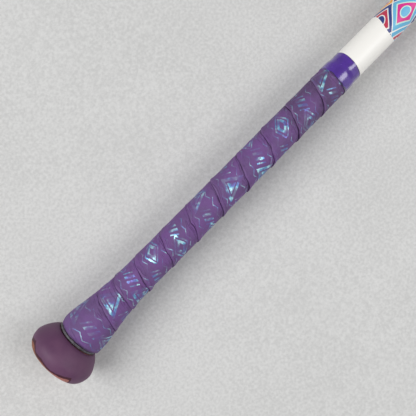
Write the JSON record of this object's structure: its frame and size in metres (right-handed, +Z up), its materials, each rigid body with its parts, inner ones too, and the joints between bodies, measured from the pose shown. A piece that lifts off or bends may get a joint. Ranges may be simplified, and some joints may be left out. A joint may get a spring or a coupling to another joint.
{
  "type": "softball bat",
  "caption": "Two-piece softball bat with a flared knob, a cushioned tape grip wound on the handle, a tapered joint collar and a hollow capped barrel.",
  "frame": {"origin": "centre of the knob's flat end face, on the bat's axis", "axes": "+X along the bat's axis towards the barrel, +Z up when the bat lies down, +Y to the side"},
  "size_m": [0.7874, 0.057, 0.057],
  "materials": {
    "knob_core": "moulded urethane, salmon to brown, bare at the end face",
    "knob_skin": "satin plum skin, chipped at the rim",
    "ring_rubber": "satin black",
    "cone_rubber": "matt dark grey, hidden under the grip",
    "grip_tape": "matt purple synthetic leather with a foil print",
    "band_vinyl": "glossy violet vinyl",
    "handle_lacquer": "glossy white lacquer over composite",
    "plug_foam": "dark closed-cell foam, hidden",
    "collar_rubber": "satin black elastomer",
    "liner_elastomer": "dark elastomer, hidden",
    "barrel_lacquer": "glossy white lacquer with a coloured print",
    "cap_urethane": "satin black moulded urethane"
  },
  "bodies": {
    "root": {"knob_core": "knob_core", "knob_cover": "knob_skin", "knob_ring": "ring_rubber", "taper_sleeve": "cone_rubber", "grip_wrap": "grip_tape", "finishing_tape": "band_vinyl", "handle_tube": "handle_lacquer", "handle_plug": "plug_foam", "joint_collar": "collar_rubber", "joint_sleeve": "liner_elastomer", "barrel_shell": "barrel_lacquer", "end_cap": "cap_urethane"}
  },
  "joints": []
}
